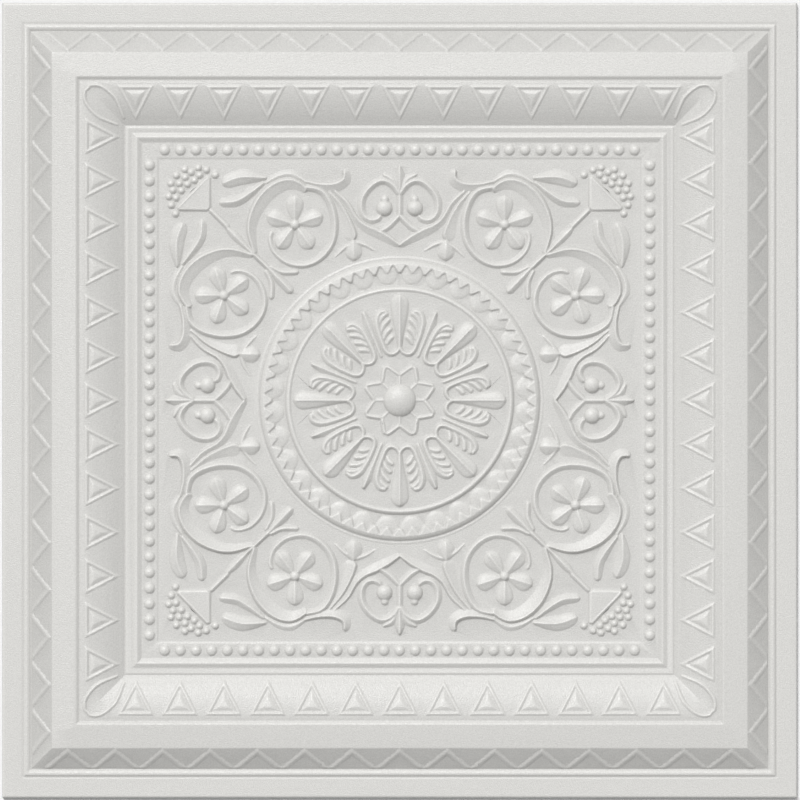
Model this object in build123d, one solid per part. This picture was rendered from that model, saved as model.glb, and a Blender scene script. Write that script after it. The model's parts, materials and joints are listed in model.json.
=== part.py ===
from build123d import *
import math
import os

# Foam ceiling tile, pressed in one piece. It lies face up: the flat glue face is at z = 0,
# the centre of the tile is the origin, and all four sides of the ornament are alike.
# Distances named *_at are measured inwards from the tile's edge, heights are above the glue face.

# Section of the square moulding
tile_side = 500.0
flange_height = 4.0
flange_edge_radius = 1.2
reed_at = 12.4
reed_groove = 0.4
reed_groove_width = 0.7
reed_width = 4.7
reed_rise = 1.4
slope_width = 13.3
frame_height = 13.0
frame_width = 15.1
frame_tilt = 1.5
frame_step = 1.0
ledge_width = 4.1
ledge_sink = 0.3
ovolo_width = 26.3
ovolo_foot_height = 4.8
ridge_width = 4.6
ridge_crest = 1.1
ridge_rise = 0.8
fillet_width = 5.9
fillet_crest = 2.7
fillet_rise = 1.6
bead_band_width = 9.6
bead_band_height = 5.0
panel_height = 4.5
panel_step_width = 0.8

# Zigzag facets on the outer slope
facet_count = 15
facet_pitch = 29.75
facet_rise = 0.9
facet_gap = 0.5

# Darts on the ovolo
dart_count = 13
dart_pitch = 27.6
dart_setback = 1.6
dart_length = 19.4
dart_width = 22.6
dart_rise = 1.0

# Row of beads round the panel
bead_count = 31
bead_pitch = 9.85
bead_radius = 3.4
bead_rise = 2.1
bead_sides = 6

# Medallion
medallion_radius = 88.0
medallion_rise = 2.5
medallion_lip = 1.8
medallion_wall = 1.8
egg_band_sink = 1.2
ring_radius = 70.0
ring_width = 2.9
ring_rise = 1.2
egg_count = 32
egg_width = 13.2
egg_rise = 1.0
egg_gap = 1.4

# Rosette on the medallion
dome_radius = 10.2
dome_rise = 4.6
star_points = 8
star_tip_radius = 23.0
star_notch_radius = 15.7
star_rise = 1.5
petal_inner_radius = 31.0
petal_outer_radius = 66.4
petal_width = 11.2
petal_rise = 2.9
spike_outer_radius = 59.5
spike_width = 4.7
spike_rise = 2.1
half_leaf_width = 3.4
half_leaf_rise = 2.0

# Scrollwork on the panel
flower_petals = 5
flower_radius = 18.2
flower_petal_width = 10.8
flower_rise = 2.9
eye_radius = 3.4
eye_rise = 3.1
cord_width = 4.2
cord_rise = 2.3
crescent_width = 9.2
crescent_rise = 2.9
hook_width = 6.8
hook_rise = 2.7
leaf_width = 9.6
leaf_rise = 2.7
frond_width = 6.2
frond_rise = 2.3
stem_width = 3.2
stem_rise = 1.9
calyx_width = 11.2
calyx_rise = 2.9
ogee_width = 6.2
ogee_rise = 2.3

# Cartouches in the middle of the sides, and flower heads in the corners of the panel
heart_width = 3.8
heart_rise = 2.2
ball_radius = 5.2
ball_rise = 3.7
fleuron_width = 5.2
fleuron_rise = 2.5
cup_rise = 2.2

# Narrowest width of a pressed leaf or stem, and how far relief is rooted in the surface below it
tip_width = 0.8
root = 0.5

half = tile_side / 2
slope_at = reed_at + 2 * reed_groove_width + reed_width
frame_at = slope_at + slope_width
step_at = frame_at + frame_width
ovolo_at = step_at + ledge_width
ridge_at = ovolo_at + ovolo_width
fillet_at = ridge_at + ridge_width
bead_band_at = fillet_at + fillet_width
panel_at = bead_band_at + bead_band_width
frame_edge_height = frame_height - frame_tilt
ovolo_top_height = frame_height - frame_step
ovolo_drop = ovolo_top_height - ovolo_foot_height
ovolo_radius = (ovolo_width**2 + ovolo_drop**2) / (2 * ovolo_drop)
ovolo_sweep = math.degrees(math.asin(ovolo_width / ovolo_radius))
ovolo_centre = (half - ovolo_at, ovolo_top_height - ovolo_radius)
dish_height = panel_height + medallion_rise
egg_band_height = dish_height - egg_band_sink
lip_radius = medallion_radius - medallion_wall - medallion_lip
full_turn = 360.0

# The scrollwork was drawn on a panel of this half width and follows the width of the panel
drawn_half_panel = 152.6
drawing_scale = (half - panel_at) / drawn_half_panel


def loose(shapes):
    """The separate solids of one or more shapes."""
    return [solid for shape in shapes for solid in shape.solids()]


def around(shapes, count, first=0.0):
    """Copies of pieces turned evenly about Z."""
    return [shape.rotate(Axis.Z, first + i * full_turn / count) for shape in shapes for i in range(count)]


def mirrored(shapes):
    """Pieces drawn left of the Y axis, and the same to the right of it."""
    return shapes + [shape.mirror(Plane.YZ) for shape in shapes]


def row(shape, count, pitch):
    """Copies of a piece in a row along X."""
    return [Pos((i - (count - 1) / 2) * pitch, 0, 0) * shape for i in range(count)]


def drawn(*points):
    """Points of the scrollwork at the size of the panel."""
    return [(x * drawing_scale, y * drawing_scale) for x, y in points]


def ridged(spine, shares, width, rise, ground, crest=0.0):
    """A leaf or stem of two faces that meet in a ridge along its spine.

    shares gives its width along the way as parts of the greatest width, and crest moves the ridge
    from the middle (0) towards its left (1) or right (-1) edge.
    """
    path = Spline(*spine) if len(spine) > 2 else Line(*spine)
    last = len(shares) - 1
    tops, lefts, rights = [], [], []
    for i, share in enumerate(shares):
        reach = max(share * width, tip_width) / 2
        lift = rise * math.sqrt(2 * reach / width)
        spread = 1 + root / lift
        point = path @ (i / last)
        tangent = (path % (i / last)).normalized()
        normal = Vector(-tangent.Y, tangent.X) * reach
        tops.append(point + normal * crest + Vector(0, 0, ground + lift))
        lefts.append(point + normal * (crest + (1 - crest) * spread) + Vector(0, 0, ground - root))
        rights.append(point + normal * (crest - (1 + crest) * spread) + Vector(0, 0, ground - root))
    corners = []
    for i in range(last):
        corners += [(lefts[i], lefts[i + 1], tops[i + 1]), (lefts[i], tops[i + 1], tops[i])]
        corners += [(rights[i], tops[i], tops[i + 1]), (rights[i], tops[i + 1], rights[i + 1])]
        corners += [(lefts[i], rights[i], rights[i + 1]), (lefts[i], rights[i + 1], lefts[i + 1])]
    corners += [(lefts[i], tops[i], rights[i]) for i in (0, last)]
    return Solid(Shell([Face(Wire.make_polygon(three)) for three in corners]))


def plate(points, bottom, top):
    """A flat raised area."""
    return Pos(0, 0, bottom) * extrude(make_face(Polyline(*points, points[0])), amount=top - bottom)


def bead(point, radius, rise, ground):
    """A low many-sided bead, half as wide at its top as at its foot."""
    lean = math.degrees(math.atan(radius / 2 / rise))
    return extrude(Pos(*point, ground) * RegularPolygon(radius, bead_sides), amount=rise, taper=lean)


def bump(start, end, rise):
    """A low rounded ridge of the section, from one point of it to the next."""
    middle = ((start[0] + end[0]) / 2, (start[1] + end[1]) / 2 + rise)
    return ThreePointArc(start, middle, end)


def ovolo_arc(lift):
    """The ovolo's curve, from its foot up to the frame's ledge, lifted square to itself."""
    return CenterArc(ovolo_centre, ovolo_radius + lift, 90 + ovolo_sweep, -ovolo_sweep)


def moulding_section():
    """The tile's section from its edge to its centre, drawn as (distance from centre, height)."""
    edge = (half, flange_height - flange_edge_radius)
    flange_out = (half - flange_edge_radius, flange_height)
    reed_out = (half - reed_at - reed_groove_width, flange_height - reed_groove)
    reed_in = (half - slope_at + reed_groove_width, flange_height - reed_groove)
    outline = [Line((0, 0), (half, 0)), Line((half, 0), edge)]
    outline.append(RadiusArc(edge, flange_out, -flange_edge_radius))
    outline.append(Polyline(flange_out, (half - reed_at, flange_height), reed_out))
    outline.append(bump(reed_out, reed_in, reed_rise))
    outline.append(Polyline(
        reed_in,
        (half - slope_at, flange_height),
        (half - frame_at, frame_edge_height),
        (half - step_at, frame_height),
        (half - step_at - ledge_width / 2, ovolo_top_height - ledge_sink),
        (half - ovolo_at, ovolo_top_height),
    ))
    outline.append(ovolo_arc(0))
    outline.append(Polyline(
        (half - ridge_at, ovolo_foot_height),
        (half - ridge_at - ridge_crest, ovolo_foot_height + ridge_rise),
        (half - fillet_at, bead_band_height),
        (half - fillet_at - fillet_crest, bead_band_height + fillet_rise),
        (half - bead_band_at, bead_band_height),
        (half - panel_at, bead_band_height),
        (half - panel_at - panel_step_width, panel_height),
        (0, panel_height),
        (0, 0),
    ))
    return make_face(outline)


def mitred_moulding():
    """The square moulding and the panel with mitred corners, as one solid."""
    length = extrude(Plane.YZ * moulding_section(), amount=half, both=True)
    quarter = plate(((0, 0), (half, half), (-half, half)), 0, 2 * frame_height)
    sides = loose(around([length & quarter], 4))
    return sides[0].fuse(*sides[1:])


def zigzag():
    """Raised triangles along the outer slope, each running out to nothing at the frame."""
    reach = (facet_pitch - facet_gap) / 2
    left = (-reach, half - slope_at, flange_height + facet_rise)
    right = (reach, half - slope_at, flange_height + facet_rise)
    apex = (0, half - frame_at, frame_edge_height)
    facet = extrude(make_face(Polyline(left, apex, right, left)), amount=root + facet_rise, dir=(0, 0, -1))
    return row(facet, facet_count, facet_pitch)


def darts():
    """Raised triangles that point at the panel and follow the ovolo's curve."""
    outer = ovolo_arc(dart_rise)
    inner = ovolo_arc(-root)
    ends = [Line(outer @ 0, inner @ 0), Line(outer @ 1, inner @ 1)]
    stock = extrude(Plane.YZ * make_face([outer, inner] + ends), amount=dart_width, both=True)
    base = half - ovolo_at - dart_setback
    corners = ((-dart_width / 2, base), (dart_width / 2, base), (0, base - dart_length))
    return row(loose([stock & plate(corners, 0, 2 * frame_height)])[0], dart_count, dart_pitch)


def bead_row():
    """Beads along the band round the panel."""
    row_y = half - bead_band_at - bead_band_width / 2
    return row(bead((0, row_y), bead_radius, bead_rise, bead_band_height), bead_count, bead_pitch)


def medallion():
    """The raised disc with its lip, sunk egg band and ring, turned about Z."""
    section = Polyline(
        (0, 0),
        (medallion_radius, 0),
        (medallion_radius, panel_height),
        (medallion_radius - medallion_wall, dish_height),
        (lip_radius, dish_height),
        (lip_radius, egg_band_height),
        (ring_radius + ring_width / 2, egg_band_height),
        (ring_radius, dish_height + ring_rise),
        (ring_radius - ring_width / 2, dish_height),
        (0, dish_height),
        (0, 0),
    )
    return revolve(Plane.XZ * make_face(section), Axis.Z)


def egg_band():
    """Tongues between the lip and the ring, pointing at the centre."""
    inner = ring_radius + ring_width / 2 + egg_gap
    shoulder = inner + egg_width / 4
    outer = lip_radius + root
    side = egg_width / 2
    corners = ((outer, side), (shoulder, side), (inner, side / 2), (inner, -side / 2), (shoulder, -side), (outer, -side))
    egg = plate(corners, egg_band_height - root, egg_band_height + egg_rise)
    return around([egg], egg_count, full_turn / egg_count / 2)


def rosette():
    """Dome, star, petals, half leaves and spikes on the medallion's dish."""
    sphere_radius = (dome_radius**2 + dome_rise**2) / (2 * dome_rise)
    ball = Pos(0, 0, dish_height + dome_rise - sphere_radius) * Sphere(sphere_radius)
    stock = Pos(0, 0, dish_height) * Cylinder(
        2 * dome_radius, 2 * dome_rise, align=(Align.CENTER, Align.CENTER, Align.MIN)
    )
    corners = []
    for i in range(2 * star_points):
        radius = star_notch_radius if i % 2 == 0 else star_tip_radius
        angle = math.pi * i / star_points
        corners.append((radius * math.cos(angle), radius * math.sin(angle)))
    star = plate(corners, dish_height - root, dish_height + star_rise)
    petal_line = ((petal_inner_radius, 0), (petal_outer_radius, 0))
    petal = ridged(petal_line, (0.2, 0.55, 0.9, 1, 0.6), petal_width, petal_rise, dish_height)
    spike_line = ((petal_inner_radius, 0), (spike_outer_radius, 0))
    spike = ridged(spike_line, (0.3, 0.7, 1, 0.5), spike_width, spike_rise, dish_height)
    fold = [(56, 8.2), (54.8, 12.6), (49.4, 14.4), (36.6, 11.2), (29.2, 5.6), (32, 1.6)]
    leaf = ridged(fold, (0.6, 1, 1, 1, 1, 1, 0.7), half_leaf_width, half_leaf_rise, dish_height)
    pairs = around([petal, leaf, leaf.mirror(Plane.XZ)], star_points)
    return [ball & stock, star] + pairs + around([spike], star_points, full_turn / star_points / 2)


def flower(x, y):
    """A five-petalled flower."""
    petals = []
    for i in range(flower_petals):
        angle = math.radians(90 - i * full_turn / flower_petals)
        line = [(x + r * math.cos(angle), y + r * math.sin(angle)) for r in (eye_radius / 2, flower_radius)]
        petals.append(ridged(line, (0.25, 0.75, 1, 0.6), flower_petal_width, flower_rise, panel_height))
    return petals + [bead((x, y), eye_radius, eye_rise, panel_height)]


def scrolls():
    """The scroll with its flower, leaves and stems, drawn in the upper left eighth of the panel."""
    crescent = drawn((-90.6, 92.3), (-93, 110), (-83, 129.5), (-70, 136.3), (-59.5, 132))
    cord = drawn((-60, 134), (-46, 127.5), (-40.9, 111.3), (-46, 93.5), (-59.6, 85.2), (-75, 89.5), (-81, 103))
    hook = drawn((-60.5, 137.6), (-45, 134), (-34.6, 137.4), (-34.6, 146))
    leaf = drawn((-110.6, 136.6), (-99.6, 140.6), (-83.6, 140.2))
    frond = drawn((-112.6, 124.4), (-98, 127.6), (-85, 137.2))
    stalk = drawn((-44.6, 131.4), (-34, 114.5), (-30.2, 100.5))
    calyx = drawn((-29.2, 101), (-28.8, 88.8))
    ogee = drawn((-41.6, 132), (-28.5, 115), (-14.6, 105.3), (-0.6, 97.2))
    return flower(*drawn((-65.9, 110.5))[0]) + [
        ridged(crescent, (0.35, 0.6, 0.9, 1, 0.8, 0.35), crescent_width, crescent_rise, panel_height, crest=0.5),
        ridged(cord, (0.85, 1, 1, 1, 1, 0.9, 0.8, 0.65, 0.5), cord_width, cord_rise, panel_height),
        ridged(hook, (0.4, 0.7, 1, 0.9, 0.4), hook_width, hook_rise, panel_height, crest=0.5),
        ridged(leaf, (0.1, 0.9, 0.9, 0.15), leaf_width, leaf_rise, panel_height),
        ridged(frond, (0.15, 0.9, 0.9, 0.25), frond_width, frond_rise, panel_height),
        ridged(stalk, (0.15, 0.4, 0.85), calyx_width, stem_rise, panel_height, crest=0.6),
        ridged(calyx, (0.45, 1, 0.75), calyx_width, calyx_rise, panel_height),
        ridged(ogee, (0.3, 0.55, 0.8, 1, 0.5), ogee_width, ogee_rise, panel_height, crest=0.5),
    ]


def cartouche():
    """The left half of the heart-shaped cartouche in the middle of the upper side."""
    heart = drawn((-0.6, 130), (-8, 137.6), (-17.3, 135.3), (-23.9, 123), (-20.5, 114.2), (-11.6, 116.4))
    arm = drawn((-0.4, 116.5), (-13.5, 105.5))
    return [
        ridged(heart, (0.8, 1, 1, 1, 1, 1, 0.9, 0.8), heart_width, heart_rise, panel_height),
        ridged(arm, (0.9, 0.7), stem_width, stem_rise, panel_height),
        bead(drawn((-9.6, 121.4))[0], ball_radius, ball_rise, panel_height),
    ]


def cartouche_middle():
    """The bar and the fleuron on the middle line of the cartouche."""
    bar = drawn((0, 130), (0, 115.5))
    fleuron = drawn((0, 131.9), (0, 147.3))
    return [
        ridged(bar, (1, 1), stem_width, stem_rise, panel_height),
        ridged(fleuron, (0.4, 1, 0.2), fleuron_width, fleuron_rise, panel_height),
    ]


def flower_head():
    """The cup in the upper left corner of the panel with its stem, buds and leaflets."""
    cup = drawn((-120.1, 140.4), (-139.6, 120.4), (-118.6, 118.9))
    stem = drawn((-119.5, 120), (-107.6, 108.5))
    bud = drawn((-109, 109.2), (-95.6, 95.6))
    joint = drawn((-97.6, 97.5), (-81.6, 81.9))
    tip = drawn((-82.6, 82.9), (-67.6, 67.7))
    leaflet = drawn((-82, 84.4), (-73.6, 80.6), (-63.6, 80.7))
    pieces = [
        plate(cup, panel_height - root, panel_height + cup_rise),
        ridged(stem, (0.9, 0.9), stem_width, stem_rise, panel_height),
        ridged(bud, (0.5, 1, 0.45), frond_width, frond_rise, panel_height),
        ridged(joint, (0.8, 1), stem_width, cord_rise, panel_height),
        ridged(tip, (0.5, 1, 0.7), frond_width, leaf_rise, panel_height),
    ]
    for line in (leaflet, [(-y, -x) for x, y in leaflet]):
        pieces.append(ridged(line, (0.7, 1, 0.9), stem_width, stem_rise, panel_height))
    return pieces


def tile():
    """The whole tile as one solid."""
    relief = around(zigzag() + darts() + bead_row() + cartouche_middle() + flower_head(), 4)
    relief += around(mirrored(scrolls() + cartouche()), 4)
    relief += [medallion()] + egg_band() + rosette()
    return mitred_moulding().fuse(*loose(relief))


os.makedirs("parts", exist_ok=True)
export_step(tile(), "parts/tile.step")
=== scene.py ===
import json
import math

import bmesh
import bpy
import numpy as np
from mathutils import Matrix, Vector

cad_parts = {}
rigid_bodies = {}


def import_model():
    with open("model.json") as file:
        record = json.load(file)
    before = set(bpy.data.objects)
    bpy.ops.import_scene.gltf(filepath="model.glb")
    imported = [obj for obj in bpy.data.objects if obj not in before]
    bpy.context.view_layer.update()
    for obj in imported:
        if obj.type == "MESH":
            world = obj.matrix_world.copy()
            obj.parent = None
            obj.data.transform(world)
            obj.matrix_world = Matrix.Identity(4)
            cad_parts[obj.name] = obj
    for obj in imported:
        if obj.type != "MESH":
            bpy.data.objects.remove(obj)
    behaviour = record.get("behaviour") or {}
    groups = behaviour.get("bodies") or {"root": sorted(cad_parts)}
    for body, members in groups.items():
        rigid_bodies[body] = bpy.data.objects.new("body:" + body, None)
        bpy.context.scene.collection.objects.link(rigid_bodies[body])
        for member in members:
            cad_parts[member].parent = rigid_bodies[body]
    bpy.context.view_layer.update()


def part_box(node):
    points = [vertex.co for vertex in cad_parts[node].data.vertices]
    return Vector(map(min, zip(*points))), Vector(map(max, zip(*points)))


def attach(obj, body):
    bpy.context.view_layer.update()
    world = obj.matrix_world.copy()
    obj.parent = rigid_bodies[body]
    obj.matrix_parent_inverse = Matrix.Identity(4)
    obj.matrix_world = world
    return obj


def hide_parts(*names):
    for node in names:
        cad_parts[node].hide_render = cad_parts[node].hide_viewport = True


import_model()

# The tile lies face up. Its face is pressed the way the real one is: every ornament is first laid out on
# a die, then a fine sheet is dropped on the die and softened. All ornament sizes below are millimetres
# from the tile's centre, drawn in the upper left corner as the tile is seen, and heights are above its back.
MM = 0.001
tile_low, tile_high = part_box("tile")
TILE_SIDE = (tile_high[0] - tile_low[0]) / MM
HALF = TILE_SIDE / 2
FRAME_HEIGHT = (tile_high[2] - tile_low[2]) / MM
QUARTERS = 4

# Section of the square moulding, as widths taken inwards from the edge
FLANGE_HEIGHT = 4.0
EDGE_RADIUS, EDGE_OVERRUN = 1.2, 2.0
REED_AT = 12.4
REED_PROFILE = ((0.0, 0.0), (0.7, -0.5), (2.0, 0.8), (3.0, 1.0), (4.2, 0.7), (5.6, -0.3))
SLOPE_AT = 18.5
SLOPE_FOOT = 4.0
FRAME_AT = 31.8
FRAME_EDGE_HEIGHT = FRAME_HEIGHT - 1.5
STEP_AT = 46.9
LEDGE_WIDTH, LEDGE_SINK = 1.9, 0.3
OVOLO_AT = 51.0
OVOLO_TOP = FRAME_HEIGHT - 1.0
OVOLO_FOOT = 4.8
RIDGE_AT = 77.3
OVOLO_WIDTH = RIDGE_AT - OVOLO_AT
RIDGE_CREST, RIDGE_RISE, RIDGE_WIDTH = 1.1, 0.8, 4.6
FILLET_CREST, FILLET_RISE = 7.3, 1.6
BEAD_BAND_AT = 87.8
BEAD_BAND_HEIGHT = 5.0
PANEL_AT = 97.4
PANEL_STEP = 0.8
PANEL_HEIGHT = 4.5

# Rows along the sides
FACET_COUNT, FACET_PITCH, FACET_RISE, FACET_OVERLAP = 15, 29.75, 0.2, 1.2
RIBBON_WIDTH, RIBBON_RISE = 3.6, 0.9
DART_COUNT, DART_PITCH, DART_RISE = 13, 27.6, 1.0
DART_SETBACK, DART_LENGTH, DART_WIDTH = 1.3, 22.6, 23.4
DART_RIM, DART_CORE_INSET, DART_CORE_FLANK = 2.4, 3.2, 2.2
DART_MARGIN, DART_SINK = 1, 0.2
BEAD_COUNT, BEAD_PITCH, BEAD_RADIUS, BEAD_RISE, BEAD_SETBACK = 31, 9.85, 3.2, 2.2, 4.9

# Medallion
MEDALLION_RADIUS, MEDALLION_RISE = 88.0, 2.5
OUTER_ROLL = ((2.6, 0.0), (1.6, 0.5), (0.6, 0.1))
SHOULDER_WIDTH, LIP_WIDTH, LIP_STEP = 2.6, 3.6, 0.4
DISH_HEIGHT = PANEL_HEIGHT + MEDALLION_RISE
EGG_BAND_HEIGHT = DISH_HEIGHT - 1.4
RING_RADIUS, RING_WIDTH, RING_RISE = 70.2, 3.4, 1.6
EGG_COUNT, EGG_RISE, EGG_OUTER, EGG_INNER = 32, 1.2, 86, 73.2
TOOTH_BASE, TOOTH_POINT, TOOTH_RISE, TOOTH_SPREAD = 86.0, 80.2, 0.4, 0.9
TOOTH_EDGE_WIDTH, TOOTH_EDGE_RISE = 1.5, 0.8
DOME_RADIUS, DOME_RISE = 10.2, 5.6
STAR_POINTS, STAR_TIP, STAR_NOTCH, STAR_RISE, STAR_OVERLAP = 8, 23.0, 15.7, 0.6, 1.05

# Panel ornament
FLOWER_PETALS, PETAL_START, PETAL_END, FLOWER_EYE = 5, 2.2, 18.2, 3.2
CUP_RISE, CUP_BAR_RISE, CUP_EDGE_RISE = 1.5, 0.7, 0.3
SEED_RADIUS = 2.2
ROLL_WIDTH = 1.9

# How finely a ridge is drawn, and how it ends
RIDGE_STEP = 0.6
RIDGE_END, RIDGE_END_STEPS = 2, 12
TAPER_LENGTH, TAPER_START = 3.0, 0.35
RIDGE_SINK = 0.05

# Press, with the height and length of the drop and the merging distance in metres
DROP_HEIGHT, DROP_LENGTH = 0.1, 0.2
SHEET_SPACING = 0.45
SOFTENING_PASSES = 1
CREST_REACH, CREST_HEIGHT = 6, 0.3
OVERLAP_STEPS = 12
SEAM_SNAP = 0.2
SEAM_MERGE = 1e-7
FACE_TRIANGLES = 192000

# Skin, with the grain's depth in metres
FOAM_COLOUR = (0.697, 0.690, 0.667, 1.0)
# The outer slope's darker colour is painted shade.
SLOPE_SHADE_COLOUR = (0.605, 0.599, 0.578, 1.0)
SLOPE_SHADE_BLEND = 0.3
GRAIN_SCALE, GRAIN_DEPTH = 1500.0, 0.00025
SPECKLE_SCALE, SPECKLE_DARK, SPECKLE_LIGHT = 1300.0, 0.90, 1.10
# Painted shade in the hollows and painted highlight on the crests, as factors on the colour
HOLLOW_PAINTED_SHADE, CREST_PAINTED_HIGHLIGHT = 0.89, 1.13
SKIN_ROUGHNESS, CREST_ROUGHNESS = 0.34, 0.26

# Stage, in metres
FLOOR_REACH, FLOOR_DROP = 6.0, 0.0005
FLOOR_COLOUR, FLOOR_ROUGHNESS = (0.95, 0.95, 0.95, 1.0), 0.9
KEY_ENERGY, KEY_SPREAD, KEY_FROM = 2.35, math.radians(25), (-0.216, 0.526, 0.822)
SKY_COLOUR, SKY_STRENGTH = (1.0, 1.0, 1.0, 1.0), 0.36
VIEW_DISTANCE, VIEW_WIDTH = 3.0, 0.5032
VIEW_SHIFT = (0.0002, 0.0002)


def catmull_rom(points, per_span=10):
    """A smooth line through a few chosen points."""
    p = np.asarray(points, float)
    if len(p) == 2:
        return p[0] + (p[1] - p[0]) * np.linspace(0, 1, 2 * per_span + 1)[:, None]
    ends = np.vstack([2 * p[0] - p[1], p, 2 * p[-1] - p[-2]])
    t = np.linspace(0, 1, per_span, endpoint=False)[:, None]
    spans = []
    for a, b, c, d in zip(ends, ends[1:], ends[2:], ends[3:]):
        curve = 2 * b + (c - a) * t + (2 * a - 5 * b + 4 * c - d) * t**2 + (3 * b - a - 3 * c + d) * t**3
        spans.append(curve / 2)
    return np.vstack(spans + [p[-1:]])


def spread_along(share, values):
    """Values given at even steps along a ridge, read at every share of its length."""
    values = np.atleast_1d(values)
    return np.interp(share, np.linspace(0, 1, len(values)), values)


class Die:
    """Collects the surfaces of one kind of ornament, which are then made a single mesh."""

    def __init__(self, name):
        self.name = name
        self.verts = []
        self.faces = []

    def grid(self, rows):
        """Adds a surface given as rows of points."""
        rows = np.asarray(rows, float)
        start = sum(len(v) for v in self.verts)
        count, width = rows.shape[:2]
        self.verts.append(rows.reshape(-1, 3))
        for i in range(count - 1):
            for j in range(width - 1):
                a = start + i * width + j
                self.faces.append((a, a + 1, a + width + 1, a + width))

    def ridge(self, route, widths, rise, ground, crest=0.0, power=0.8, blunt=(True, True), roll=0.0):
        """A raised line or leaf along a route.

        crest moves the highest line from the middle (0) towards the left (1) or right (-1) edge, and a
        power under 1 rounds the flanks. A blunt end is rounded off, any other follows its width. roll is
        the height of a thin bead drawn along the crest.
        """
        line = catmull_rom(route)
        steps = np.linalg.norm(np.diff(line, axis=0), axis=1)
        along = np.concatenate([[0], np.cumsum(steps)])
        length = along[-1]
        even = np.linspace(0, length, max(24, int(length / RIDGE_STEP)))
        end = np.linspace(0, RIDGE_END, RIDGE_END_STEPS)
        fine = np.unique(np.concatenate([even, end, length - end]).clip(0, length))
        line = np.column_stack([np.interp(fine, along, line[:, k]) for k in (0, 1)])
        share = fine / length
        width = spread_along(share, widths)
        height = spread_along(share, rise)
        for is_blunt, distance in zip(blunt, (fine, length - fine)):
            if is_blunt:
                near = np.clip(distance / np.maximum(width / 2, 1e-6), 0, 1)
                cap = np.sqrt(np.maximum(1 - (1 - near) ** 2, 0))
                width = width * np.maximum(cap, 0.02)
                height = height * np.maximum(cap, 0.05) ** 0.5
            else:
                near = np.clip(distance / TAPER_LENGTH, 0, 1)
                height = height * (TAPER_START + (1 - TAPER_START) * near)
        tangent = np.gradient(line, axis=0)
        tangent /= np.linalg.norm(tangent, axis=1)[:, None] + 1e-12
        normal = np.column_stack([-tangent[:, 1], tangent[:, 0]])
        across = np.unique(np.append(np.linspace(-1, 1, 31 if roll else 13), crest))
        reach = np.where(across < crest, crest + 1, 1 - crest)
        shape = (1 - np.abs(across - crest) / reach) ** power
        rows = np.zeros((len(fine), len(across), 3))
        sideways = across[None, :] * width[:, None] / 2
        rows[:, :, :2] = line[:, None, :] + normal[:, None, :] * sideways[:, :, None]
        base = ground(rows[:, :, 0], rows[:, :, 1]) if callable(ground) else ground
        off_crest = np.abs(across - crest)[None, :] * width[:, None] / ROLL_WIDTH
        thread = roll * (height / height.max())[:, None] * np.clip(1 - off_crest, 0, 1) ** 0.7
        rows[:, :, 2] = base + height[:, None] * shape[None, :] + thread - RIDGE_SINK
        self.grid(rows)

    def dome(self, x, y, radius, rise, ground, rings=6, sides=16):
        """A round bead."""
        turn = np.linspace(0, 2 * math.pi, sides + 1)
        rows = []
        for k in range(rings + 1):
            slant = math.pi / 2 * k / rings
            r = radius * math.cos(slant)
            z = ground + rise * math.sin(slant)
            rows.append(np.column_stack([x + r * np.cos(turn), y + r * np.sin(turn), np.full(sides + 1, z)]))
        self.grid(rows[:-1])
        self.flat(rows[-2][:-1])

    def flat(self, corners):
        """A flat facet."""
        start = sum(len(v) for v in self.verts)
        self.verts.append(np.asarray(corners, float))
        self.faces.append(tuple(range(start, start + len(corners))))

    def make(self):
        """The die as a mesh object in metres."""
        mesh = bpy.data.meshes.new(self.name)
        mesh.from_pydata((np.vstack(self.verts) * MM).tolist(), [], self.faces)
        piece = bpy.data.objects.new(self.name, mesh)
        die_collection.objects.link(piece)
        return piece


# Node trees that repeat ornaments and press the sheet

def node_tree(name, sockets):
    """An empty geometry tree with named inputs after its geometry input."""
    tree = bpy.data.node_groups.new(name, "GeometryNodeTree")
    tree.interface.new_socket("Geometry", in_out="INPUT", socket_type="NodeSocketGeometry")
    tree.interface.new_socket("Geometry", in_out="OUTPUT", socket_type="NodeSocketGeometry")
    for label, kind in sockets:
        tree.interface.new_socket(label, in_out="INPUT", socket_type=kind)
    return tree


def node(tree, kind, links=(), **settings):
    """A node with its settings, its inputs linked or set in order by index or name."""
    made = tree.nodes.new(kind)
    for key, value in settings.items():
        setattr(made, key, value)
    for socket, value in dict(links).items():
        if isinstance(value, bpy.types.NodeSocket):
            tree.links.new(value, made.inputs[socket])
        else:
            made.inputs[socket].default_value = value
    return made


def maths(tree, operation, a, b):
    """The result of one sum."""
    return node(tree, "ShaderNodeMath", {0: a, 1: b}, operation=operation).outputs[0]


def blurred(tree, value, passes):
    """A value evened out over the neighbouring points of the sheet."""
    blur = node(tree, "GeometryNodeBlurAttribute", {
        "Value": value, "Iterations": passes, "Weight": 1.0}, data_type="FLOAT")
    return blur.outputs[0]


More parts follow.
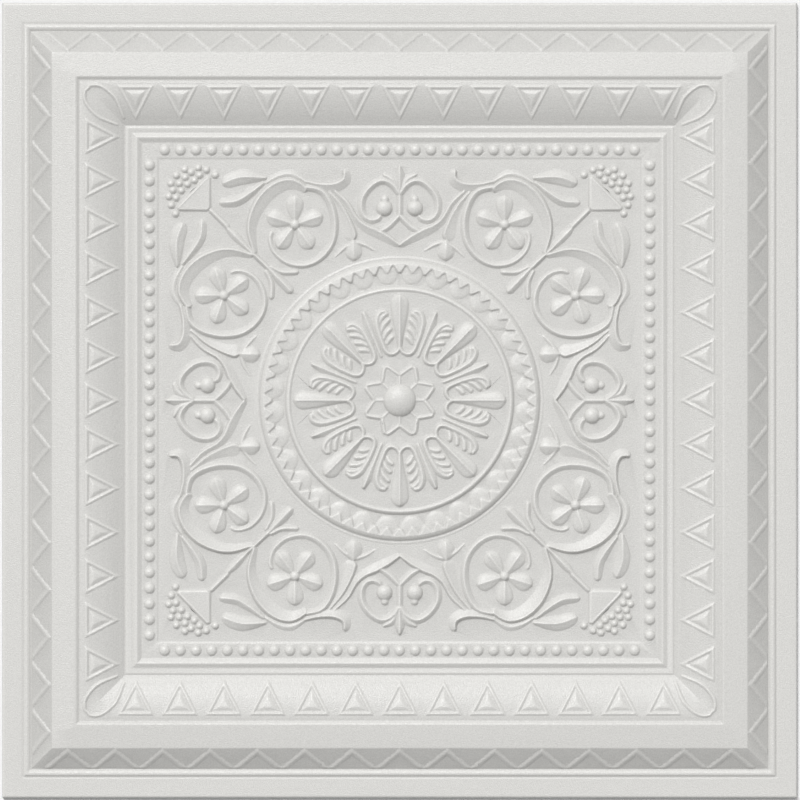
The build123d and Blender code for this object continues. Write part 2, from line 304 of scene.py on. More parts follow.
def turned_copies_tree():
    """Copies turned about the centre, with a mirrored partner for each where asked."""
    tree = node_tree("turned_copies", [
        ("Count", "NodeSocketInt"), ("First Angle", "NodeSocketFloat"), ("Mirrored", "NodeSocketInt")])
    start = node(tree, "NodeGroupInput")
    count = start.outputs["Count"]
    total = maths(tree, "MULTIPLY", count, maths(tree, "ADD", start.outputs["Mirrored"], 1.0))
    points = node(tree, "GeometryNodePoints", {"Count": total})
    index = node(tree, "GeometryNodeInputIndex").outputs[0]
    turn = maths(tree, "MODULO", index, count)
    step = maths(tree, "DIVIDE", 2 * math.pi, count)
    angle = maths(tree, "ADD", maths(tree, "MULTIPLY", turn, step), start.outputs["First Angle"])
    partner = maths(tree, "GREATER_THAN", index, maths(tree, "SUBTRACT", count, 0.5))
    flip = maths(tree, "SUBTRACT", 1.0, maths(tree, "MULTIPLY", partner, 2.0))
    scale = node(tree, "ShaderNodeCombineXYZ", {0: flip, 1: 1.0, 2: 1.0}).outputs[0]
    rotation = node(tree, "ShaderNodeCombineXYZ", {2: angle}).outputs[0]
    copies = node(tree, "GeometryNodeInstanceOnPoints", {
        "Points": points.outputs[0], "Instance": start.outputs["Geometry"],
        "Rotation": rotation, "Scale": scale})
    real = node(tree, "GeometryNodeRealizeInstances", {0: copies.outputs[0]})
    node(tree, "NodeGroupOutput", {0: real.outputs[0]})
    return tree


def side_rows_tree():
    """A row of copies along the upper side, then the same row on all four sides."""
    tree = node_tree("side_rows", [("Count", "NodeSocketInt"), ("Pitch", "NodeSocketFloat")])
    start = node(tree, "NodeGroupInput")
    points = node(tree, "GeometryNodePoints", {"Count": start.outputs["Count"]})
    index = node(tree, "GeometryNodeInputIndex").outputs[0]
    middle = maths(tree, "DIVIDE", maths(tree, "SUBTRACT", start.outputs["Count"], 1.0), 2.0)
    along = maths(tree, "MULTIPLY", maths(tree, "SUBTRACT", index, middle), start.outputs["Pitch"])
    place = node(tree, "ShaderNodeCombineXYZ", {0: along}).outputs[0]
    placed = node(tree, "GeometryNodeSetPosition", {"Geometry": points.outputs[0], "Position": place})
    row = node(tree, "GeometryNodeInstanceOnPoints", {
        "Points": placed.outputs[0], "Instance": start.outputs["Geometry"]})
    sides = node(tree, "GeometryNodePoints", {"Count": QUARTERS})
    turn = maths(tree, "MULTIPLY", node(tree, "GeometryNodeInputIndex").outputs[0], 2 * math.pi / QUARTERS)
    rotation = node(tree, "ShaderNodeCombineXYZ", {2: turn}).outputs[0]
    copies = node(tree, "GeometryNodeInstanceOnPoints", {
        "Points": sides.outputs[0], "Instance": row.outputs[0], "Rotation": rotation})
    real = node(tree, "GeometryNodeRealizeInstances", {0: copies.outputs[0]})
    node(tree, "NodeGroupOutput", {0: real.outputs[0]})
    return tree


def press_tree():
    """A fine sheet over the upper left quarter, dropped on the die and softened.

    Its crest attribute says how far each point stands over (1) or under (-1) what is round it; the skin uses
    it for painted highlight on crests and painted shade in hollows.
    """
    tree = node_tree("press", [
        ("Die", "NodeSocketCollection"), ("Size", "NodeSocketFloat"), ("Steps", "NodeSocketInt"),
        ("Overlap", "NodeSocketFloat"), ("Softening", "NodeSocketInt"), ("Crest Reach", "NodeSocketInt"),
        ("Crest Height", "NodeSocketFloat"), ("Foam", "NodeSocketMaterial")])
    start = node(tree, "NodeGroupInput")
    size = start.outputs["Size"]
    sheet = node(tree, "GeometryNodeMeshGrid", {
        "Size X": size, "Size Y": size,
        "Vertices X": start.outputs["Steps"], "Vertices Y": start.outputs["Steps"]})
    shift = maths(tree, "SUBTRACT", maths(tree, "DIVIDE", size, 2.0), start.outputs["Overlap"])
    left = maths(tree, "MULTIPLY", shift, -1.0)
    corner = node(tree, "ShaderNodeCombineXYZ", {0: left, 1: shift}).outputs[0]
    laid = node(tree, "GeometryNodeTransform", {"Geometry": sheet.outputs[0], "Translation": corner})
    die = node(tree, "GeometryNodeCollectionInfo", {0: start.outputs["Die"]})
    solid = node(tree, "GeometryNodeRealizeInstances", {0: die.outputs[0]})
    place = node(tree, "GeometryNodeInputPosition").outputs[0]
    raised = {0: place, 1: (0.0, 0.0, DROP_HEIGHT)}
    above = node(tree, "ShaderNodeVectorMath", raised, operation="ADD").outputs[0]
    drop = node(tree, "GeometryNodeRaycast", {
        "Target Geometry": solid.outputs[0], "Source Position": above,
        "Ray Direction": (0.0, 0.0, -1.0), "Ray Length": DROP_LENGTH})
    hit = node(tree, "ShaderNodeSeparateXYZ", {0: drop.outputs["Hit Position"]}).outputs[2]
    soft = blurred(tree, hit, start.outputs["Softening"])
    wide = blurred(tree, soft, start.outputs["Crest Reach"])
    proud = maths(tree, "SUBTRACT", soft, wide)
    share = maths(tree, "DIVIDE", proud, start.outputs["Crest Height"])
    crest = node(tree, "ShaderNodeClamp", {0: share, 1: -1.0, 2: 1.0}).outputs[0]
    marked = node(tree, "GeometryNodeStoreNamedAttribute", {
        "Geometry": laid.outputs[0], "Name": "crest", "Value": crest}, data_type="FLOAT", domain="POINT")
    lift = node(tree, "ShaderNodeCombineXYZ", {2: soft}).outputs[0]
    pressed = node(tree, "GeometryNodeSetPosition", {"Geometry": marked.outputs[0], "Offset": lift})
    real = node(tree, "GeometryNodeRealizeInstances", {0: pressed.outputs[0]})
    finish = node(tree, "GeometryNodeSetMaterial", {
        "Geometry": real.outputs[0], "Material": start.outputs["Foam"]})
    node(tree, "NodeGroupOutput", {0: finish.outputs[0]})
    return tree


def use_tree(piece, tree, **values):
    """Puts a tree on a piece, with its inputs set by their identifiers."""
    modifier = piece.modifiers.new(tree.name, "NODES")
    modifier.node_group = tree
    for item in tree.interface.items_tree:
        key = item.name.lower().replace(" ", "_")
        if item.in_out == "INPUT" and key in values:
            modifier[item.identifier] = values[key]


# Dies

def arc_points(start, end, rise, count=9):
    """A low round bump of the section between two of its points."""
    share = np.linspace(0, 1, count)
    line = np.outer(1 - share, start) + np.outer(share, end)
    line[:, 1] += rise * np.sin(math.pi * share) ** 0.8
    return line.tolist()


def ovolo_height(distance):
    """Height of the ovolo at a distance in from the tile's edge."""
    drop = OVOLO_TOP - OVOLO_FOOT
    radius = (OVOLO_WIDTH**2 + drop**2) / (2 * drop)
    inward = np.asarray(distance) - OVOLO_AT
    return OVOLO_TOP - radius + np.sqrt(radius**2 - inward**2)


def on_ovolo(x, y):
    """Height of the ovolo under a point of its mitred corner."""
    distance = HALF - np.maximum(np.abs(x), np.abs(y))
    return ovolo_height(np.clip(distance, OVOLO_AT, RIDGE_AT))


def moulding_die():
    """The square moulding and the panel, mitred at the corners."""
    section = [(-EDGE_OVERRUN, FLANGE_HEIGHT - EDGE_RADIUS)]
    for k in range(6):
        slant = math.pi / 2 * k / 5
        inward = EDGE_RADIUS * (1 - math.cos(slant))
        section.append((inward, FLANGE_HEIGHT - EDGE_RADIUS * (1 - math.sin(slant))))
    section += [(REED_AT + inward, FLANGE_HEIGHT + rise) for inward, rise in REED_PROFILE]
    section += [(SLOPE_AT, SLOPE_FOOT), (FRAME_AT, FRAME_EDGE_HEIGHT), (STEP_AT, FRAME_HEIGHT),
                (STEP_AT + LEDGE_WIDTH, OVOLO_TOP - LEDGE_SINK)]
    distances = np.linspace(OVOLO_AT, RIDGE_AT, 24)
    section += list(zip(distances, ovolo_height(distances)))
    section += [(RIDGE_AT + RIDGE_CREST, OVOLO_FOOT + RIDGE_RISE),
                (RIDGE_AT + RIDGE_WIDTH, BEAD_BAND_HEIGHT),
                (RIDGE_AT + FILLET_CREST, BEAD_BAND_HEIGHT + FILLET_RISE),
                (BEAD_BAND_AT, BEAD_BAND_HEIGHT), (PANEL_AT, BEAD_BAND_HEIGHT),
                (PANEL_AT + PANEL_STEP, PANEL_HEIGHT), (HALF, PANEL_HEIGHT)]
    die = Die("moulding_die")
    corners = ((-1, 1), (1, 1), (1, -1), (-1, -1), (-1, 1))
    die.grid([[(sx * (HALF - d), sy * (HALF - d), z) for sx, sy in corners] for d, z in section])
    die.make()


def facet_die():
    """One tooth of the zigzag on the outer slope: a thin ribbon round a barely raised triangle."""
    die = Die("facet_die")
    length = FRAME_AT - SLOPE_AT
    half_base = FACET_PITCH / 2 + FACET_OVERLAP
    slant = math.hypot(length, half_base)
    climb = (FRAME_EDGE_HEIGHT - SLOPE_FOOT) / length
    half_pitch = FACET_PITCH / 2
    x, inward = np.meshgrid(np.linspace(-half_pitch, half_pitch, 96), np.linspace(0, length, 44))
    depth = ((length - inward) * half_base - np.abs(x) * length) / slant
    half_ribbon = RIBBON_WIDTH / 2
    ribbon = np.clip(1 - np.abs(depth - half_ribbon) / half_ribbon, 0, 1) ** 0.5
    relief = FACET_RISE * np.clip(depth / RIBBON_WIDTH, 0, 1) + RIBBON_RISE * ribbon
    z = np.where(relief > 0, SLOPE_FOOT + climb * inward + relief, 0.0)
    die.grid(np.dstack([x, HALF - SLOPE_AT - inward, z]))
    use_tree(die.make(), side_rows, count=FACET_COUNT, pitch=FACET_PITCH * MM)


def dart_die():
    """One dart: a raised triangular rim round a small raised triangle, following the ovolo."""
    die = Die("dart_die")
    slant = math.hypot(DART_LENGTH, DART_WIDTH / 2)
    xs = np.linspace(-DART_WIDTH / 2 - DART_MARGIN, DART_WIDTH / 2 + DART_MARGIN, 80)
    ins = np.linspace(-DART_MARGIN, DART_LENGTH + DART_MARGIN, 66)
    x, inward = np.meshgrid(xs, ins)
    to_side = ((DART_LENGTH - inward) * DART_WIDTH / 2 - np.abs(x) * DART_LENGTH) / slant
    depth = np.minimum(inward, to_side)
    rim = 1 - np.abs(depth - DART_RIM / 2) / (DART_RIM / 2)
    core = np.clip((depth - DART_CORE_INSET) / DART_CORE_FLANK, 0, 1) ** 0.8
    relief = DART_RISE * np.maximum(np.clip(rim, 0, 1) ** 0.7, core)
    distance = OVOLO_AT + DART_SETBACK + inward
    z = np.where(relief > 0, ovolo_height(distance) + relief, ovolo_height(distance) - DART_SINK)
    die.grid(np.dstack([x, HALF - distance, z]))
    use_tree(die.make(), side_rows, count=DART_COUNT, pitch=DART_PITCH * MM)


def bead_die():
    """One bead of the row round the panel."""
    die = Die("bead_die")
    middle = HALF - BEAD_BAND_AT - BEAD_SETBACK
    die.dome(0, middle, BEAD_RADIUS, BEAD_RISE, BEAD_BAND_HEIGHT, rings=8, sides=24)
    use_tree(die.make(), side_rows, count=BEAD_COUNT, pitch=BEAD_PITCH * MM)


def medallion_die():
    """The turned part of the medallion and its dome."""
    lip = MEDALLION_RADIUS - LIP_WIDTH
    section = [(MEDALLION_RADIUS + outward, PANEL_HEIGHT + rise) for outward, rise in OUTER_ROLL]
    for k in range(1, 7):
        slant = math.pi / 2 * k / 6
        reach = MEDALLION_RADIUS - SHOULDER_WIDTH * (1 - math.cos(slant))
        section.append((reach, PANEL_HEIGHT + MEDALLION_RISE * math.sin(slant)))
    ring_outside = (RING_RADIUS + RING_WIDTH / 2, EGG_BAND_HEIGHT)
    ring_inside = (RING_RADIUS - RING_WIDTH / 2, DISH_HEIGHT)
    section += [(lip, DISH_HEIGHT), (lip - LIP_STEP, EGG_BAND_HEIGHT), ring_outside]
    section += arc_points(ring_outside, ring_inside, RING_RISE)
    section.append((0.0, DISH_HEIGHT))
    turn = np.linspace(0, 2 * math.pi, 257)
    die = Die("medallion_die")
    die.grid([
        np.column_stack([r * np.cos(turn), r * np.sin(turn), np.full(len(turn), z)]) for r, z in section])
    die.dome(0, 0, DOME_RADIUS, DOME_RISE, DISH_HEIGHT, rings=14, sides=64)
    die.make()


def egg_die():
    """One egg of the medallion's band and its two teeth."""
    die = Die("egg_die")
    heights = (0.8 * EGG_RISE, EGG_RISE, EGG_RISE)
    die.ridge([(EGG_OUTER, 0), (EGG_INNER, 0)], (15.2, 14.6, 13.2), heights, EGG_BAND_HEIGHT,
              power=0.38, blunt=(False, True))
    pitch = 2 * math.pi / EGG_COUNT
    spread = TOOTH_SPREAD * pitch / 4
    for angle in (0, pitch / 2):
        corners = [(r * math.cos(angle + turn), r * math.sin(angle + turn))
                   for r, turn in ((TOOTH_BASE, -spread), (TOOTH_POINT, 0), (TOOTH_BASE, spread))]
        die.flat([corner + (DISH_HEIGHT + TOOTH_RISE,) for corner in corners])
        for foot in (corners[0], corners[2]):
            die.ridge([foot, corners[1]], (TOOTH_EDGE_WIDTH, TOOTH_EDGE_WIDTH), TOOTH_EDGE_RISE,
                      DISH_HEIGHT - 0.1, power=0.6)
    use_tree(die.make(), turned_copies, count=EGG_COUNT, first_angle=pitch / 2, mirrored=0)


def rosette_die():
    """One petal of the rosette with the half leaves beside it, a star point and a spike."""
    die = Die("rosette_die")
    die.ridge([(31, 0), (66.6, 0)], (2.0, 3.8, 6.4, 9.6, 11.4, 10.8), (1.6, 2.4, 2.6, 2.5), DISH_HEIGHT,
              power=0.48, roll=0.7)
    loop = [(56.0, 8.2), (54.8, 12.6), (49.4, 14.4), (43, 13.3), (36.6, 11.2), (30.9, 8.6), (29, 5.4),
            (30.4, 1.8), (33.7, 0)]
    ribs = [((46.5, 13.0), (51.8, 11.4), (55.2, 7.4)), ((41.6, 11.8), (46.9, 10.2), (51.4, 6.2)),
            ((37.8, 10.2), (42.0, 8.6), (45.8, 5.2)), ((34.9, 8.2), (37.8, 6.8), (40.6, 3.9))]
    for side in (1, -1):
        die.ridge([(a, side * b) for a, b in loop], (2.8, 4.4, 4.6, 4.0, 3.4, 3.0, 2.6),
                  (2.0, 2.4, 2.3, 2.1), DISH_HEIGHT, power=0.7)
        for rib in ribs:
            die.ridge([(a, side * b) for a, b in rib], (2.0, 3.8, 3.2), (1.2, 1.8, 2.0), DISH_HEIGHT,
                      power=0.6)
    half_step = math.pi / STAR_POINTS
    turned = (math.cos(half_step), math.sin(half_step))

    def on_spike(a, b):
        return (a * turned[0] - b * turned[1], a * turned[1] + b * turned[0])

    die.ridge([on_spike(29, 0), on_spike(60.0, 0)], (2.0, 2.8, 4.2, 6.4, 2.2), (1.4, 1.9, 2.4), DISH_HEIGHT,
              power=0.75, roll=0.4)
    notch = (STAR_NOTCH * math.cos(half_step), STAR_NOTCH * math.sin(half_step))
    for side in (1, -1):
        outline = [(notch[0], notch[1]), (18.6, 3.5), (21.6, 1.6), (STAR_TIP, 0)]
        die.ridge([on_spike(a, side * b) for a, b in outline], (3.0, 3.2, 3.0), 2.0, DISH_HEIGHT)
    die.ridge([(DOME_RADIUS - 1, 0), (STAR_NOTCH, 0)], (3.2, 3.2), 1.5, DISH_HEIGHT, power=0.9)
    half_width = STAR_OVERLAP * notch[1]
    hollow = [(0, 0), (notch[0], half_width), (STAR_TIP, 0), (notch[0], -half_width)]
    die.flat([on_spike(a, b) + (DISH_HEIGHT + STAR_RISE,) for a, b in hollow])
    use_tree(die.make(), turned_copies, count=STAR_POINTS, first_angle=0.0, mirrored=0)


def flower(die, x, y):
    """A five-petalled flower."""
    for k in range(FLOWER_PETALS):
        angle = math.radians(90 - 360 * k / FLOWER_PETALS)
        ends = [(x + r * math.cos(angle), y + r * math.sin(angle)) for r in (PETAL_START, PETAL_END)]
        die.ridge(ends, (2.6, 6.6, 10.0, 11.0, 9.8), (1.2, 2.2, 2.6, 2.4), PANEL_HEIGHT, power=0.48, roll=0.6)
    die.dome(x, y, FLOWER_EYE, FLOWER_EYE, PANEL_HEIGHT)


def scroll_die():
    """The scroll, flower and leaves that fill one eighth of the panel."""
    die = Die("scroll_die")
    flower(die, -65.9, 110.5)
    crescent = [(-90.6, 92.3), (-93.4, 106.3), (-91.0, 117.3), (-85.0, 127.4), (-76.6, 134.2), (-68.6, 136.4),
                (-61.6, 133.9), (-59.1, 130.9)]
    die.ridge(crescent, (3.0, 5.0, 7.4, 9.2, 9.4, 7.6, 4.0), (2.0, 2.4, 2.6, 2.6, 2.2), PANEL_HEIGHT,
              crest=0.6, roll=0.7)
    ring = [(-60.0, 134.0), (-49.6, 131.4), (-43.6, 123.4), (-40.9, 111.3), (-42.6, 99.3), (-49.6, 89.8),
            (-59.6, 85.2), (-70.6, 86.8), (-78.6, 93.3), (-81.4, 101.3), (-80.1, 106.3)]
    die.ridge(ring, (4.0, 4.8, 5.0, 4.8, 4.4, 4.0, 3.4, 2.6), (2.4, 2.4, 2.3, 2.1, 1.8, 1.4), PANEL_HEIGHT,
              crest=0.2, power=0.7, roll=0.3)
    hook = [(-60.5, 137.6), (-49.6, 134.6), (-40.6, 134.4), (-34.6, 137.4), (-33.4, 141.6), (-34.6, 145.0)]
    die.ridge(hook, (2.6, 4.0, 6.0, 7.0, 6.4, 3.6), (1.8, 2.2, 2.6, 2.6), PANEL_HEIGHT, crest=0.5, roll=0.6)
    sheath = [(-84.6, 136.5), (-76.0, 141.2), (-68.0, 142.2), (-59.0, 137.8)]
    die.ridge(sheath, (1.8, 4.6, 5.4, 2.0), 1.6, PANEL_HEIGHT)
    broad_leaf = [(-111.6, 136.2), (-99.6, 140.2), (-83.6, 139.8)]
    die.ridge(broad_leaf, (7.0, 9.4, 9.4, 6.4, 1.8), (2.0, 2.6, 2.8, 1.6), PANEL_HEIGHT, power=0.6, roll=0.5)
    slim_leaf = [(-113.4, 124.2), (-103.0, 125.2), (-95.0, 129.6), (-85.0, 137.2)]
    die.ridge(slim_leaf, (5.0, 6.6, 6.4, 4.4, 1.8), (1.8, 2.4, 2.4, 1.6), PANEL_HEIGHT, power=0.6, roll=0.5)
    bud_stem = [(-44.6, 131.4), (-37.0, 121.4), (-32.4, 110.3), (-30.2, 100.5)]
    die.ridge(bud_stem, (1.6, 3.2, 6.0, 9.5), (1.2, 1.7, 2.0), PANEL_HEIGHT, crest=0.7, roll=0.6)
    bud = [(-29.2, 101.0), (-28.8, 88.0)]
    die.ridge(bud, (5.0, 9.5, 11.4, 10.0), (2.2, 3.0, 2.8), PANEL_HEIGHT, power=0.7)
    sepals = [[(-29.5, 99.5), (-35.5, 95.2), (-40.8, 90.0)],
              [(-28.0, 99.8), (-21.5, 97.6), (-15.4, 94.0)]]
    for sepal in sepals:
        die.ridge(sepal, (3.0, 2.6, 0.8), (1.6, 1.1), PANEL_HEIGHT)
    side_stem = [(-41.6, 132.0), (-33.1, 123.4), (-27.6, 113.8), (-21.6, 108.6), (-14.6, 105.3),
                 (-7.6, 101.6), (0.0, 96.9)]
    die.ridge(side_stem, (1.8, 3.2, 3.6, 4.8, 6.4, 5.6, 3.0), (1.2, 2.0, 2.2, 2.2), PANEL_HEIGHT,
              crest=0.5, roll=0.5)
    use_tree(die.make(), turned_copies, count=QUARTERS, first_angle=0.0, mirrored=1)


def cartouche_die():
    """Half of the heart-shaped cartouche in the middle of a side."""
    die = Die("cartouche_die")
    heart = [(0, 129.1), (-3.4, 134.4), (-7.7, 137.5), (-12, 138), (-17.3, 135.3), (-21.6, 130.5),
             (-23.9, 125.2), (-23.9, 119.4), (-21.6, 115.1), (-17.8, 113.2), (-14, 114.1), (-11.6, 116.4)]
    die.ridge(heart, (4.4, 5.0, 5.2, 5.2, 4.8, 4.0), (2.2, 2.4, 2.2, 1.9), PANEL_HEIGHT, roll=0.3)
    die.dome(-9.6, 120.9, 4.9, 3.8, PANEL_HEIGHT)
    die.dome(-9.4, 126.4, 2.4, 2.1, PANEL_HEIGHT)
    die.ridge([(0, 130), (0, 115.5)], (4.0, 4.2, 4.0), 2.1, PANEL_HEIGHT)
    foot = [(0, 116.5), (-3.4, 112.7), (-7.7, 108.8), (-13.5, 105.5)]
    die.ridge(foot, (3.6, 4.6, 4.6, 3.4), 2.1, PANEL_HEIGHT)
    die.ridge([(0, 128.5), (0, 147.3)], (3.4, 4.4, 6.8, 6.0, 1.4), (1.6, 2.4, 2.6), PANEL_HEIGHT,
              power=0.65, roll=0.4)
    side_leaf = [(-0.6, 130.5), (-4.4, 138.4), (-10.6, 142.2)]
    die.ridge(side_leaf, (2.4, 4.6, 5.0, 1.8), (1.8, 2.2, 2.0), PANEL_HEIGHT)
    use_tree(die.make(), turned_copies, count=QUARTERS, first_angle=0.0, mirrored=1)


def corner_die():
    """The flower head, stem and buds on the diagonal, and the loop on the ovolo's mitre."""
    die = Die("corner_die")
    cup = [(-120.1, 140.4), (-139.6, 120.4), (-120.1, 120.2)]
    die.flat([(x, y, PANEL_HEIGHT + CUP_RISE) for x, y in cup])
    die.ridge(cup[:2], (3.0, 3.0), CUP_RISE + CUP_BAR_RISE, PANEL_HEIGHT)
    for foot in cup[:2]:
        die.ridge([foot, cup[2]], (2.6, 2.6), CUP_RISE + CUP_EDGE_RISE, PANEL_HEIGHT, power=0.6)
    outer = [(-115.9, 141.7), (-121.6, 144.9), (-126.6, 146.2), (-135.1, 145.2), (-140.4, 141.4),
             (-143.8, 136.4), (-145.1, 128.2), (-143.6, 122.7), (-140.9, 117.3)]
    inner = [(-131.1, 143.4), (-125.9, 141.7), (-134.9, 140.2), (-138.6, 136.4), (-142.6, 132.2),
             (-129.1, 138.4), (-133.4, 135.9), (-137.3, 131.9), (-140.6, 127.4)]
    for x, y in outer + inner:
        die.dome(x, y, SEED_RADIUS, SEED_RADIUS, PANEL_HEIGHT, sides=12)
    die.ridge([(-119.5, 120.2), (-107.6, 108.5)], (3.2, 3.6), 2.0, PANEL_HEIGHT, power=0.65)
    die.ridge([(-109.0, 109.0), (-95.6, 95.3)], (2.8, 5.6, 4.8, 2.6), (1.8, 2.6, 1.8), PANEL_HEIGHT)
    die.ridge([(-97.6, 97.3), (-81.6, 82.2)], (2.6, 3.6), 2.3, PANEL_HEIGHT)
    die.ridge([(-82.6, 83.2), (-67.6, 67.7)], (3.2, 5.2, 6.4, 5.6), (2.0, 2.8, 2.6), PANEL_HEIGHT)
    leaflet = [(-82.0, 84.4), (-73.6, 80.6), (-63.6, 80.7)]
    loop = [(-195.0, 196.0), (-197.6, 193.6), (-196.8, 186.8), (-189.5, 178.4), (-176.8, 173.0)]
    for turned in (lambda x, y: (x, y), lambda x, y: (-y, -x)):
        die.ridge([turned(x, y) for x, y in leaflet], (2.6, 3.6, 3.8), 2.1, PANEL_HEIGHT)
        die.ridge([turned(x, y) for x, y in loop], (2.2, 2.6, 2.6, 1.8), 1.3, on_ovolo, power=0.7)
    use_tree(die.make(), turned_copies, count=QUARTERS, first_angle=0.0, mirrored=0)


# Finish of the foam

def foam_material():
    """White pressed foam with a speckled, finely grained satin skin.

    It is painted darker on the outer slope as painted shade, lighter on the crests as painted highlight and
    darker in the hollows as painted shade, and glossier on the crests.
    """
    material = bpy.data.materials.new("pressed_foam")
    material.use_nodes = True
    tree = material.node_tree
    shader = tree.nodes["Principled BSDF"]
    where = node(tree, "ShaderNodeTexCoord").outputs["Object"]
    grain = node(tree, "ShaderNodeTexNoise", {"Vector": where, "Scale": GRAIN_SCALE, "Detail": 1.0})
    bump = node(tree, "ShaderNodeBump", {
        "Height": grain.outputs["Fac"], "Strength": 1.0, "Distance": GRAIN_DEPTH})
    tree.links.new(bump.outputs["Normal"], shader.inputs["Normal"])
    from_centre = node(tree, "ShaderNodeVectorMath", {0: where}, operation="ABSOLUTE").outputs[0]
    parts = node(tree, "ShaderNodeSeparateXYZ", {0: from_centre})
    outward = maths(tree, "MAXIMUM", parts.outputs[0], parts.outputs[1])
    # Where the outer slope's painted shade is laid, blended over a narrow margin
    middle = (HALF - (SLOPE_AT + FRAME_AT) / 2) * MM
    off_middle = maths(tree, "ABSOLUTE", maths(tree, "SUBTRACT", outward, middle), 0.0)
    reach = (FRAME_AT - SLOPE_AT) / 2 * MM
    blend = SLOPE_SHADE_BLEND * MM
    slope = node(tree, "ShaderNodeMapRange", {
        0: off_middle, 1: reach - blend, 2: reach + blend, 3: 1.0, 4: 0.0})
    tone = node(tree, "ShaderNodeMix", {
        0: slope.outputs[0], 6: FOAM_COLOUR, 7: SLOPE_SHADE_COLOUR}, data_type="RGBA")
    speckle = node(tree, "ShaderNodeTexNoise", {"Vector": where, "Scale": SPECKLE_SCALE, "Detail": 1.0})
    pearl = node(tree, "ShaderNodeMapRange", {
        0: speckle.outputs["Fac"], 1: 0.2, 2: 0.8, 3: SPECKLE_DARK, 4: SPECKLE_LIGHT})
    # Painted light: crests painted lighter as painted highlight, hollows painted darker as painted shade
    crest = node(tree, "ShaderNodeAttribute", attribute_name="crest").outputs["Fac"]
    painted_crest_light = node(tree, "ShaderNodeMapRange", {0: crest, 1: -1.0, 2: 1.0, 3: HOLLOW_PAINTED_SHADE, 4: CREST_PAINTED_HIGHLIGHT})
    speckle_and_painted_light = maths(tree, "MULTIPLY", pearl.outputs[0], painted_crest_light.outputs[0])
    colour = node(tree, "ShaderNodeVectorMath", {0: tone.outputs[2], 3: speckle_and_painted_light}, operation="SCALE")
    tree.links.new(colour.outputs[0], shader.inputs["Base Color"])
    gloss = node(tree, "ShaderNodeMapRange", {
        0: crest, 1: 0.0, 2: 1.0, 3: SKIN_ROUGHNESS, 4: CREST_ROUGHNESS})
    tree.links.new(gloss.outputs[0], shader.inputs["Roughness"])
    return material


# The tile

def plain_mesh(piece):
    """The piece's finished mesh, with the piece itself taken away."""
    graph = bpy.context.evaluated_depsgraph_get()
    finished = piece.evaluated_get(graph)
    mesh = bpy.data.meshes.new_from_object(finished, preserve_all_data_layers=True, depsgraph=graph)
    bpy.data.objects.remove(piece)
    return mesh


def loose_object(name, data):
    """A mesh, lamp or camera put in the scene at the origin."""
    piece = bpy.data.objects.new(name, data)
    bpy.context.scene.collection.objects.link(piece)
    return piece


def pressed_quarter(foam):
    """The pressed upper left quarter of the face as a thinned mesh."""
    steps = round(HALF / SHEET_SPACING)
    spacing = HALF * MM / steps
    overlap = OVERLAP_STEPS * spacing
    sheet = loose_object("sheet", bpy.data.meshes.new("sheet"))
    use_tree(sheet, press_tree(), die=die_collection, size=HALF * MM + overlap,
             steps=steps + OVERLAP_STEPS + 1, overlap=overlap, softening=SOFTENING_PASSES,
             crest_reach=CREST_REACH, crest_height=CREST_HEIGHT * MM, foam=foam)
    mesh = plain_mesh(sheet)
    quarter = bmesh.new()
    quarter.from_mesh(mesh)
    spare = [v for v in quarter.verts if v.co.x > spacing / 2 or v.co.y < -spacing / 2]
    bmesh.ops.delete(quarter, geom=spare, context="VERTS")
    quarter.to_mesh(mesh)
    quarter.free()
    thinned = loose_object("thinned", mesh)
    thin = thinned.modifiers.new("thin", "DECIMATE")
    thin.ratio = FACE_TRIANGLES / QUARTERS / (2 * steps**2)
    return plain_mesh(thinned)


def straighten_seams(quarter):
    """Puts the quarter's border back on its four straight sides, so that the mirrored halves meet."""
    for vert in quarter.verts:
        if vert.is_boundary:
            for axis, sides in ((0, (0.0, -HALF * MM)), (1, (0.0, HALF * MM))):
                for side in sides:
                    if abs(vert.co[axis] - side) < SEAM_SNAP * MM:
                        vert.co[axis] = side


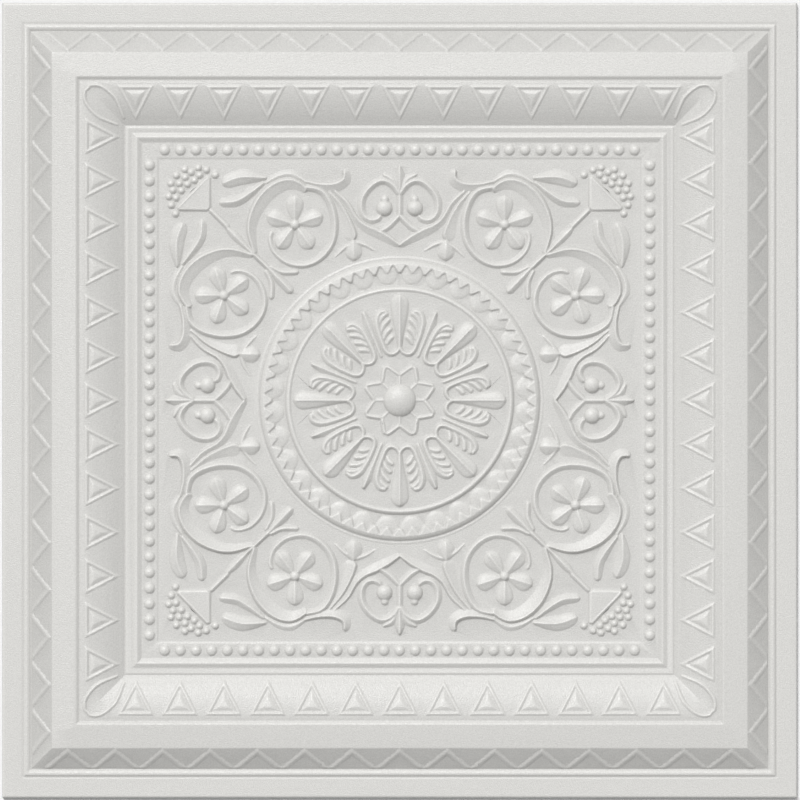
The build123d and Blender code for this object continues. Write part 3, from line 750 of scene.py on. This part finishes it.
def whole_tile(foam):
    """The whole tile: four mirrored quarters of the face, the edge and the flat back."""
    mesh = pressed_quarter(foam)
    face = bmesh.new()
    face.from_mesh(mesh)
    straighten_seams(face)
    for axis in ("X", "Y"):
        everything = face.verts[:] + face.edges[:] + face.faces[:]
        bmesh.ops.mirror(face, geom=everything, axis=axis, merge_dist=SEAM_MERGE)
    bmesh.ops.recalc_face_normals(face, faces=face.faces)
    rim = [edge for edge in face.edges if edge.is_boundary]
    skirt = bmesh.ops.extrude_edge_only(face, edges=rim)["geom"]
    for item in skirt:
        if isinstance(item, bmesh.types.BMVert):
            item.co.z = 0.0
    foot = [item for item in skirt if isinstance(item, bmesh.types.BMEdge) and item.is_boundary]
    bmesh.ops.holes_fill(face, edges=foot)
    bmesh.ops.recalc_face_normals(face, faces=face.faces)
    for polygon in face.faces:
        polygon.smooth = True
    face.to_mesh(mesh)
    face.free()
    shaded = loose_object("shaded", mesh)
    weigh = shaded.modifiers.new("weigh", "WEIGHTED_NORMAL")
    weigh.mode = "FACE_AREA"
    return loose_object("foam_tile", plain_mesh(shaded))


die_collection = bpy.data.collections.new("dies")
bpy.context.scene.collection.children.link(die_collection)
turned_copies = turned_copies_tree()
side_rows = side_rows_tree()
moulding_die()
facet_die()
dart_die()
bead_die()
medallion_die()
egg_die()
rosette_die()
scroll_die()
cartouche_die()
corner_die()
tile = whole_tile(foam_material())
for piece in list(die_collection.objects):
    bpy.data.objects.remove(piece)
bpy.data.collections.remove(die_collection)

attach(tile, "root")
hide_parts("tile")

# Stage
floor_mesh = bpy.data.meshes.new("floor")
floor_corners = [(FLOOR_REACH * x, FLOOR_REACH * y, 0) for x, y in ((-1, -1), (1, -1), (1, 1), (-1, 1))]
floor_mesh.from_pydata(floor_corners, [], [(0, 1, 2, 3)])
floor = loose_object("floor", floor_mesh)
floor_material = bpy.data.materials.new("floor")
floor_material.use_nodes = True
floor_shader = floor_material.node_tree.nodes["Principled BSDF"]
floor_shader.inputs["Base Color"].default_value = FLOOR_COLOUR
floor_shader.inputs["Roughness"].default_value = FLOOR_ROUGHNESS
floor_mesh.materials.append(floor_material)
floor.location.z = -FLOOR_DROP

sun = bpy.data.lights.new("key", "SUN")
sun.energy = KEY_ENERGY
sun.angle = KEY_SPREAD
lamp = loose_object("key", sun)
lamp.rotation_euler = Vector(KEY_FROM).to_track_quat("Z", "Y").to_euler()

world = bpy.data.worlds.new("studio")
world.use_nodes = True
sky = world.node_tree.nodes["Background"]
sky.inputs["Color"].default_value = SKY_COLOUR
sky.inputs["Strength"].default_value = SKY_STRENGTH
bpy.context.scene.world = world

camera_data = bpy.data.cameras.new("camera")
camera_data.sensor_width = 36.0
camera_data.lens = camera_data.sensor_width * VIEW_DISTANCE / VIEW_WIDTH
camera = loose_object("camera", camera_data)
camera.location = (*VIEW_SHIFT, VIEW_DISTANCE + FLANGE_HEIGHT * MM)
bpy.context.scene.camera = camera

bpy.context.scene.view_settings.view_transform = "Standard"
